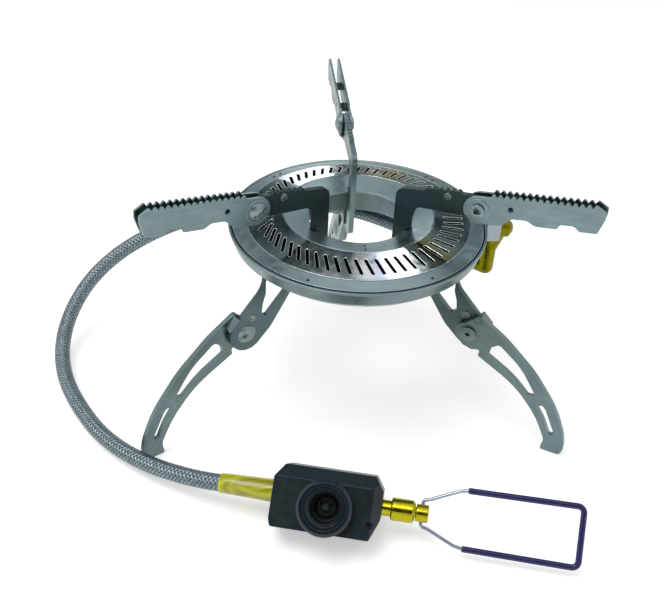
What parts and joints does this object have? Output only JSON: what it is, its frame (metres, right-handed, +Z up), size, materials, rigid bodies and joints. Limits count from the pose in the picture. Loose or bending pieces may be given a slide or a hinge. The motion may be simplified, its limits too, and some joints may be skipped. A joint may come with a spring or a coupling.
{
  "type": "canister_stove",
  "caption": "Remote gas canister stove: slotted ring burner on folding windowed legs, toothed fold-in pot supports, braided hose and a black valve with canister socket and wire handle",
  "frame": {"origin": "Centre of the stove's own box, at its feet, without the hose and valve", "axes": "+Z up, +X towards the burner's gas inlet, +Y along the rear bracket"},
  "size_m": [0.2057, 0.2012, 0.1097],
  "materials": {
    "pan_steel": "satin stainless sheet, lightly heat-darkened",
    "flange_steel": "satin stainless sheet, turned grain",
    "polished_steel": "mirror-polished stainless with faint straw heat tint",
    "rivet_steel": "tumbled stainless rivets",
    "brass": "turned brass, lightly dulled",
    "sheet_steel": "bright stainless sheet",
    "bracket_steel": "dark satin stainless plate",
    "support_steel": "satin blue-grey stainless",
    "leg_steel": "satin blue-grey stainless",
    "hose_braid": "fine woven stainless braid",
    "black_anodised": "black anodised, satin",
    "seal_rubber": "matte black rubber",
    "amber_sleeve": "translucent amber sleeve",
    "wire_steel": "drawn stainless wire",
    "grip_plastic": "dark navy shrunk sleeve"
  },
  "bodies": {
    "stove": {"air_shroud": "sheet_steel", "bracket_clips": "pan_steel", "bracket_left": "bracket_steel", "bracket_rear": "bracket_steel", "bracket_right": "bracket_steel", "burner_flange": "flange_steel", "burner_pan": "pan_steel", "clip_rivets": "rivet_steel", "depressor_pin": "brass", "detent_pins": "rivet_steel", "flame_port_ring": "polished_steel", "flange_rivets": "rivet_steel", "gas_diffuser": "pan_steel", "hose": "hose_braid", "hose_sleeve": "amber_sleeve", "inlet_fitting": "brass", "inner_flange": "flange_steel", "jet_ferrule": "sheet_steel", "jet_holder": "brass", "jet_nozzle": "brass", "leg_rivets": "rivet_steel", "leg_stop_pins": "rivet_steel", "leg_washers": "rivet_steel", "mixing_tube": "brass", "socket_collar": "black_anodised", "socket_seal": "seal_rubber", "spindle_seal": "seal_rubber", "support_rivets": "rivet_steel", "valve_body": "black_anodised", "valve_bonnet": "brass", "valve_screw": "black_anodised"},
    "support_rear": {"pot_support_rear": "support_steel"},
    "leg_rear": {"leg_rear": "leg_steel"},
    "support_left": {"pot_support_left": "support_steel"},
    "leg_left": {"leg_left": "leg_steel"},
    "support_right": {"pot_support_right": "support_steel"},
    "leg_right": {"leg_right": "leg_steel"},
    "spindle": {"valve_spindle": "brass"},
    "handle": {"wire_handle": "wire_steel", "handle_grip": "grip_plastic"}
  },
  "joints": [
    {"name": "support_rear_hinge", "type": "hinge", "parent": "stove", "child": "support_rear", "pos_m": [-0.00034, 0.02334, 0.0972], "axis": [0.9994, 0.0349, 0], "range_deg": [0, 157]},
    {"name": "leg_rear_hinge", "type": "hinge", "parent": "stove", "child": "leg_rear", "pos_m": [-0.00049, 0.02754, 0.0449], "axis": [-0.9994, -0.0349, 0], "range_deg": [0, 150]},
    {"name": "support_left_hinge", "type": "hinge", "parent": "stove", "child": "support_left", "pos_m": [-0.03815, -0.04488, 0.0972], "axis": [-0.5, 0.866, 0], "range_deg": [0, 157]},
    {"name": "leg_left_hinge", "type": "hinge", "parent": "stove", "child": "leg_left", "pos_m": [-0.04179, -0.04698, 0.0449], "axis": [0.5, -0.866, 0], "range_deg": [0, 125]},
    {"name": "support_right_hinge", "type": "hinge", "parent": "stove", "child": "support_right", "pos_m": [0.04065, -0.04488, 0.0972], "axis": [-0.5, -0.866, 0], "range_deg": [0, 157]},
    {"name": "leg_right_hinge", "type": "hinge", "parent": "stove", "child": "leg_right", "pos_m": [0.04429, -0.04698, 0.0449], "axis": [0.5, 0.866, 0], "range_deg": [0, 110]},
    {"name": "spindle_turn", "type": "hinge", "parent": "stove", "child": "spindle", "pos_m": [0.01255, -0.10704, 0.01205], "axis": [0.9703, -0.2419, 0], "range_deg": [0, 540]},
    {"name": "handle_fold", "type": "hinge", "parent": "spindle", "child": "handle", "pos_m": [0.01837, -0.10849, 0.01205], "axis": [0.1555, 0.6237, 0.766], "range_deg": [-90, 90]}
  ]
}
